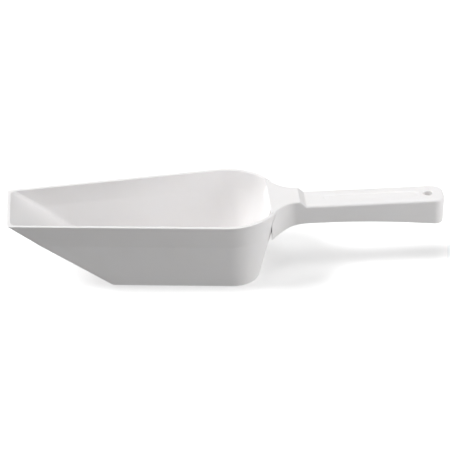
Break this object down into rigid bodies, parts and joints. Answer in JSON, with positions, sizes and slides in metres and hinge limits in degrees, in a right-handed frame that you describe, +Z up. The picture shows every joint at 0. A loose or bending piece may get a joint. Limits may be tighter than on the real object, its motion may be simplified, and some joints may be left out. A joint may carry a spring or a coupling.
{
  "type": "ice scoop",
  "caption": "Flat-bottomed ice scoop in white plastic: tapered open bowl with a sloping front plate, and a separate straight handle with a hanging hole.",
  "frame": {"origin": "bottom centre of the whole scoop, on the surface that the bowl's floor rests on", "axes": "+X from the lip to the end of the handle, +Z up out of the open bowl, +Y to the left of someone who holds the handle and looks towards the lip's far side"},
  "size_m": [0.2994, 0.0844, 0.0515],
  "materials": {
    "bowl_plastic": "satin moulded white polypropylene",
    "handle_plastic": "satin moulded white polypropylene, slightly finer texture than the bowl"
  },
  "bodies": {
    "root": {"bowl": "bowl_plastic", "handle": "handle_plastic"}
  },
  "joints": []
}
